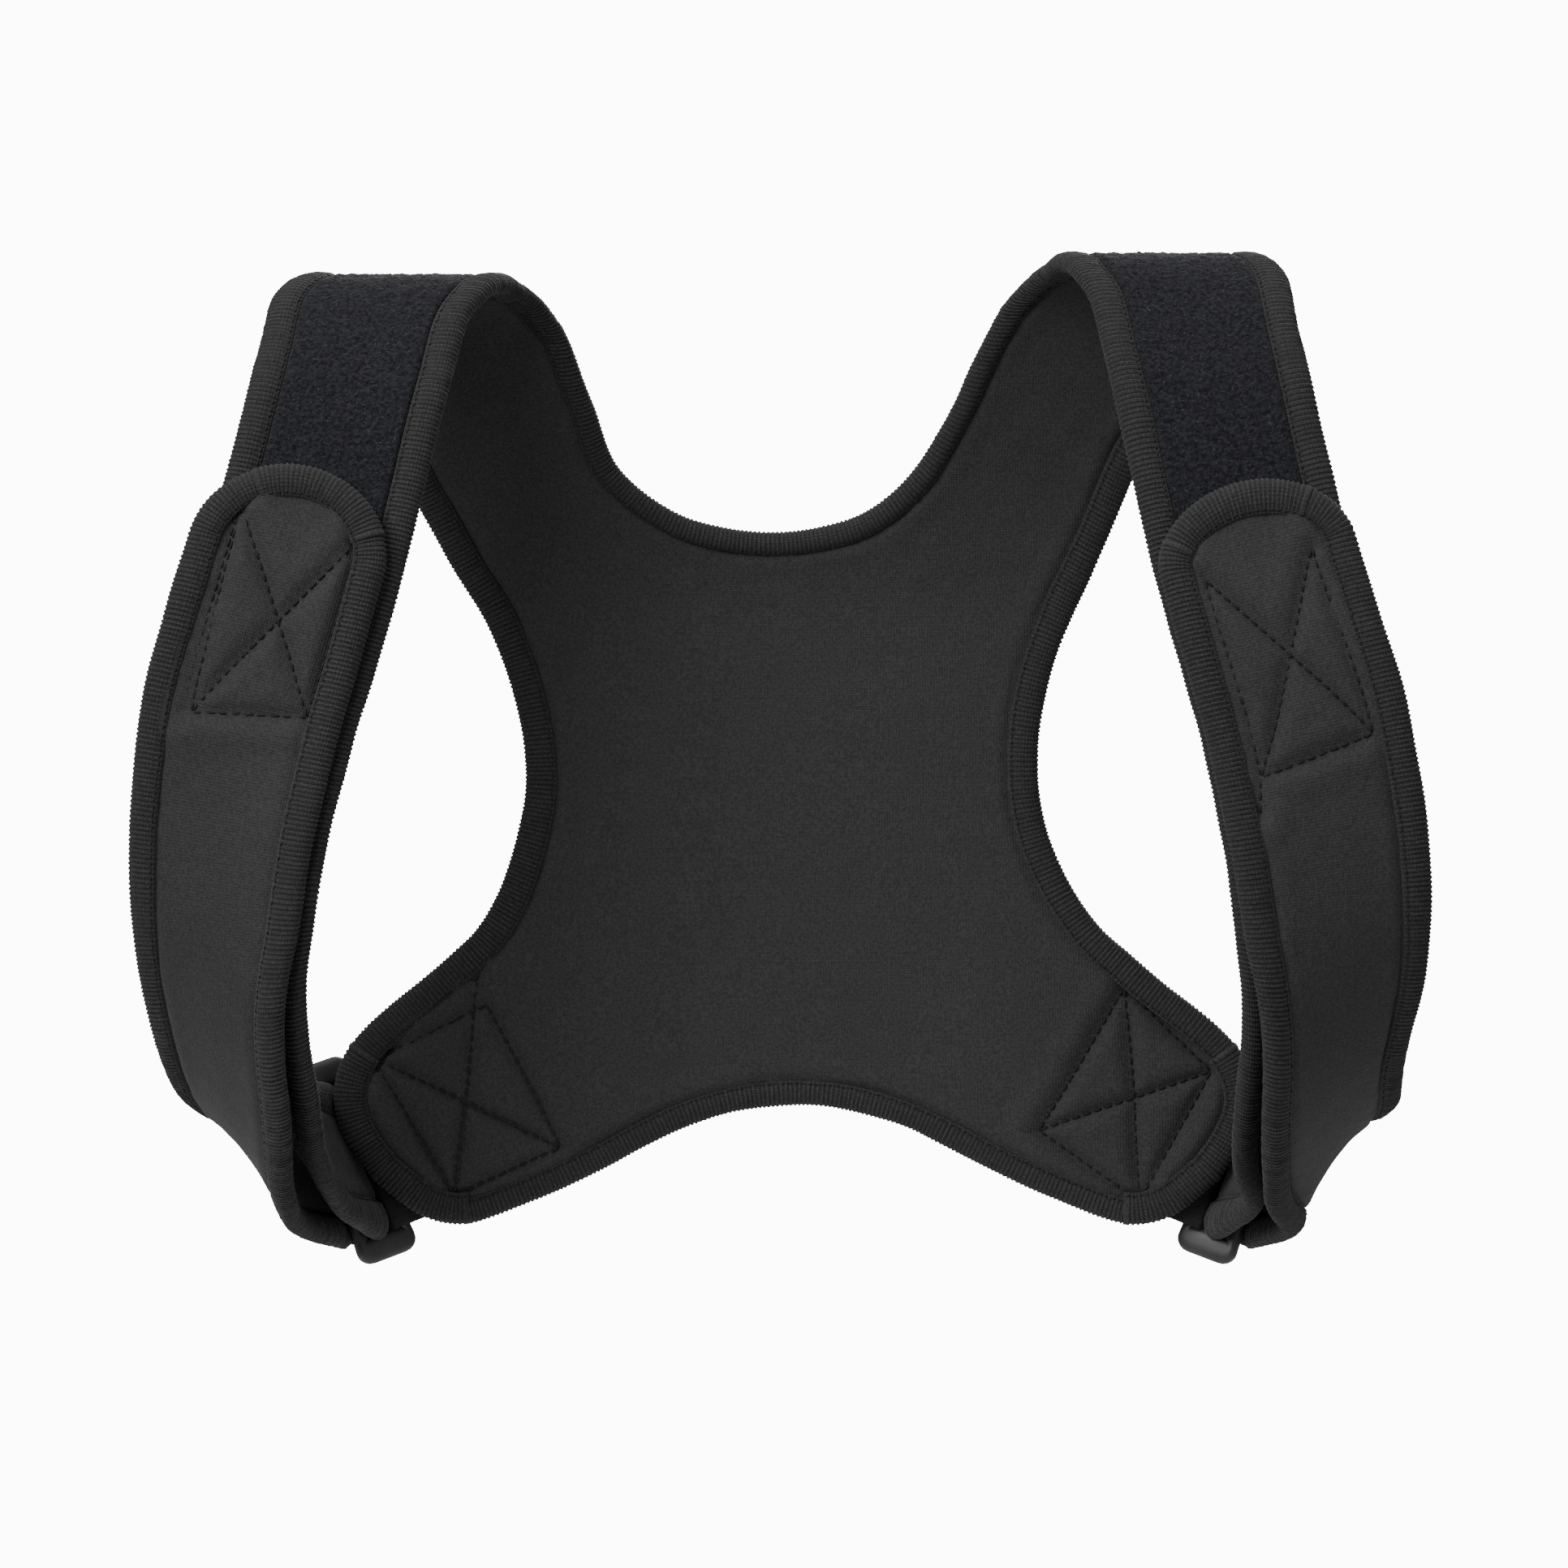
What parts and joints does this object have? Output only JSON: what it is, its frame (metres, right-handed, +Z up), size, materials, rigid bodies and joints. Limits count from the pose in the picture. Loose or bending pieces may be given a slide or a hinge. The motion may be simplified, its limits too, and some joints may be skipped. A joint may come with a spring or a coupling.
{
  "type": "posture corrector",
  "caption": "X-shaped neoprene back brace with straps that loop over the shoulders, under the arms and through side rings, in its worn form.",
  "frame": {"origin": "on the wearer's side of the back panel's middle layer, in the middle plane, halfway between neckline and hem", "axes": "+X to the wearer's right as seen from the chest side, -Y towards the wearer's front, +Z up"},
  "size_m": [0.3911, 0.1519, 0.3177],
  "materials": {
    "neoprene": "matte knit-faced neoprene",
    "knit_tape": "ribbed knit tape",
    "loop_fabric": "brushed loop pile",
    "hook_tape": "woven hook tape",
    "webbing": "woven webbing",
    "ring_plastic": "moulded, half gloss"
  },
  "bodies": {
    "root": {"back_panel": "neoprene", "neckline_binding": "knit_tape", "hem_binding": "knit_tape", "armhole_binding_left": "knit_tape", "lobe_binding_left": "knit_tape", "shoulder_strap_left": "neoprene", "loop_facing_left": "loop_fabric", "hook_patch_left": "hook_tape", "strap_inner_binding_left": "knit_tape", "strap_outer_binding_left": "knit_tape", "tongue_binding_left": "knit_tape", "ring_left": "ring_plastic", "webbing_left": "webbing", "armhole_binding_right": "knit_tape", "lobe_binding_right": "knit_tape", "shoulder_strap_right": "neoprene", "loop_facing_right": "loop_fabric", "hook_patch_right": "hook_tape", "strap_inner_binding_right": "knit_tape", "strap_outer_binding_right": "knit_tape", "tongue_binding_right": "knit_tape", "ring_right": "ring_plastic", "webbing_right": "webbing"}
  },
  "joints": []
}
